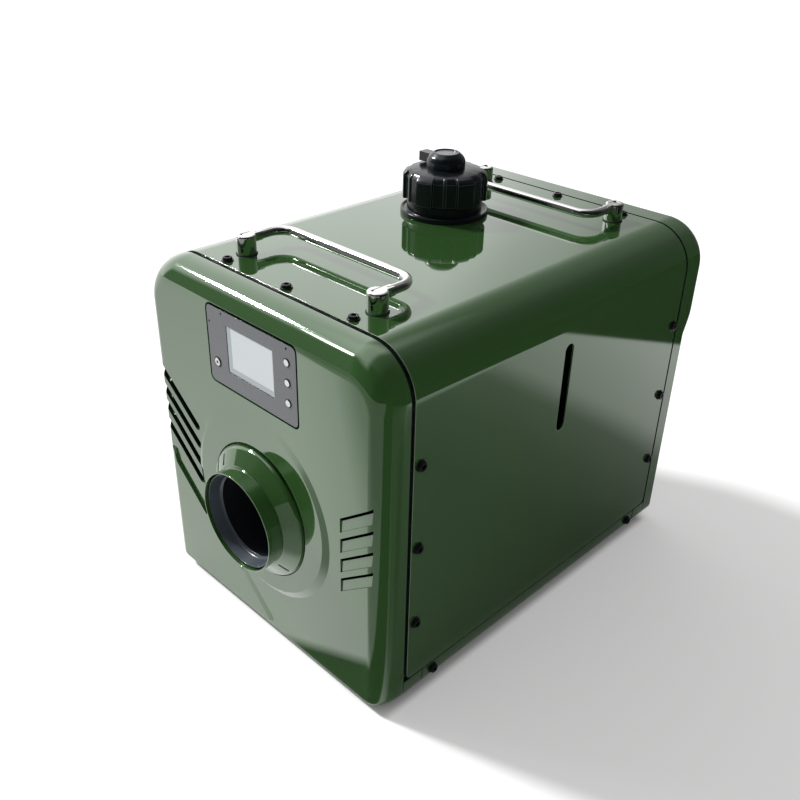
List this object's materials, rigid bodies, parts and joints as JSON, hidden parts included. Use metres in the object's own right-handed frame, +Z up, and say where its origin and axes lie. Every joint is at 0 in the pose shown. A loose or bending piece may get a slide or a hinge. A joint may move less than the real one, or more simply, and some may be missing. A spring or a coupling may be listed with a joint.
{
  "type": "portable air heater",
  "caption": "Boxy all-in-one forced-air heater with folding carrying handles, round warm-air outlet, display with keys, louvres and a screw-on fuel cap over an inner tank",
  "frame": {"origin": "on the floor under the feet, in the middle of the footprint between the left and right sides and between the outlet rim and the back", "axes": "+X to the right seen from the front, +Y to the back (warm air blows out towards -Y), +Z up"},
  "size_m": [0.2622, 0.397, 0.3375],
  "materials": {
    "green_cover": "deep green clear-coated paint on moulded covers",
    "green_sheet": "deep green clear-coated paint on bent sheet",
    "rubber_black": "matt black rubber",
    "plastic_black": "satin black moulded plastic",
    "plastic_grey": "satin mid-grey plastic",
    "screen_glass": "pale grey display glass, switched off",
    "circuit_board": "green solder mask",
    "key_white": "smooth white plastic",
    "steel_polished": "polished steel",
    "tank_plastic": "dark blow-moulded plastic",
    "steel_plain": "plain steel",
    "alloy_cast": "as-cast aluminium",
    "steel_black": "black oxide steel"
  },
  "bodies": {
    "housing": {"front_cover": "green_cover", "rear_cover": "green_cover", "outlet_nozzle": "green_cover", "main_shell": "green_sheet", "base_tray": "green_sheet", "foot_front_left": "rubber_black", "foot_front_right": "rubber_black", "foot_rear_left": "rubber_black", "foot_rear_right": "rubber_black", "fuel_hose": "rubber_black", "wiring_harness": "rubber_black", "outlet_liner": "plastic_black", "filler_collar": "plastic_black", "power_socket": "plastic_black", "intake_pipe": "plastic_black", "display_bezel": "plastic_grey", "display_screen": "screen_glass", "display_board": "circuit_board", "control_board": "circuit_board", "handle_post_front_left": "steel_polished", "handle_post_front_right": "steel_polished", "handle_post_rear_left": "steel_polished", "handle_post_rear_right": "steel_polished", "handle_pin_front_left": "steel_polished", "handle_pin_front_right": "steel_polished", "handle_pin_rear_left": "steel_polished", "handle_pin_rear_right": "steel_polished", "fuel_tank": "tank_plastic", "heater_casing": "tank_plastic", "tank_outlet_pipe": "steel_plain", "fuel_pump": "steel_plain", "glow_plug": "steel_plain", "blower_motor": "steel_plain", "burner_tube": "steel_plain", "exhaust_pipe": "steel_plain", "heat_exchanger": "alloy_cast", "screw_top_front_1": "steel_black", "screw_top_front_2": "steel_black", "screw_top_front_3": "steel_black", "screw_top_rear_1": "steel_black", "screw_top_rear_2": "steel_black", "screw_top_rear_3": "steel_black", "screw_side_front_1": "steel_black", "screw_side_front_2": "steel_black", "screw_side_front_3": "steel_black", "screw_side_rear_1": "steel_black", "screw_side_rear_2": "steel_black", "screw_side_rear_3": "steel_black"},
    "front_handle": {"handle_bail_front": "steel_polished"},
    "rear_handle": {"handle_bail_rear": "steel_polished"},
    "gasket": {"cap_gasket": "rubber_black"},
    "cap": {"fuel_cap": "plastic_black"},
    "vent_knob": {"cap_vent_knob": "plastic_black"},
    "rotor": {"rotor_shaft": "steel_plain", "circulation_fan": "plastic_black", "combustion_fan": "alloy_cast"},
    "key_left_body": {"key_left": "key_white"},
    "key_upper_body": {"key_upper": "key_white"},
    "key_middle_body": {"key_middle": "key_white"},
    "key_lower_body": {"key_lower": "key_white"}
  },
  "joints": [
    {"name": "front_handle_fold", "type": "hinge", "parent": "housing", "child": "front_handle", "pos_m": [0, -0.1232, 0.3015], "axis": [1, 0, 0], "range_deg": [0, 90]},
    {"name": "rear_handle_fold", "type": "hinge", "parent": "housing", "child": "rear_handle", "pos_m": [0, 0.1451, 0.3015], "axis": [-1, 0, 0], "range_deg": [0, 90]},
    {"name": "cap_lift", "type": "slide", "parent": "housing", "child": "gasket", "axis": [0, 0, 1], "range_m": [0, 0.0061]},
    {"name": "cap_turn", "type": "hinge", "parent": "gasket", "child": "cap", "pos_m": [-0.039, 0.0575, 0.314], "axis": [0, 0, 1], "range_deg": [0, 540]},
    {"name": "vent_knob_turn", "type": "hinge", "parent": "cap", "child": "vent_knob", "pos_m": [-0.039, 0.0575, 0.33], "axis": [0, 0, 1], "range_deg": [0, 90]},
    {"name": "blower_spin", "type": "hinge", "parent": "housing", "child": "rotor", "pos_m": [0, 0.1005, 0.1203], "axis": [0, 1, 0], "continuous": true},
    {"name": "key_left_press", "type": "slide", "parent": "housing", "child": "key_left_body", "axis": [0, 1, 0], "range_m": [0, 0.001], "stiffness_N_per_m": 400, "springref_m": -0.0005},
    {"name": "key_upper_press", "type": "slide", "parent": "housing", "child": "key_upper_body", "axis": [0, 1, 0], "range_m": [0, 0.001], "stiffness_N_per_m": 400, "springref_m": -0.0005},
    {"name": "key_middle_press", "type": "slide", "parent": "housing", "child": "key_middle_body", "axis": [0, 1, 0], "range_m": [0, 0.001], "stiffness_N_per_m": 400, "springref_m": -0.0005},
    {"name": "key_lower_press", "type": "slide", "parent": "housing", "child": "key_lower_body", "axis": [0, 1, 0], "range_m": [0, 0.001], "stiffness_N_per_m": 400, "springref_m": -0.0005}
  ],
  "couplings": [
    {"joint": "cap_lift", "follows": "cap_turn", "m_per_rad": 0.00063662}
  ]
}
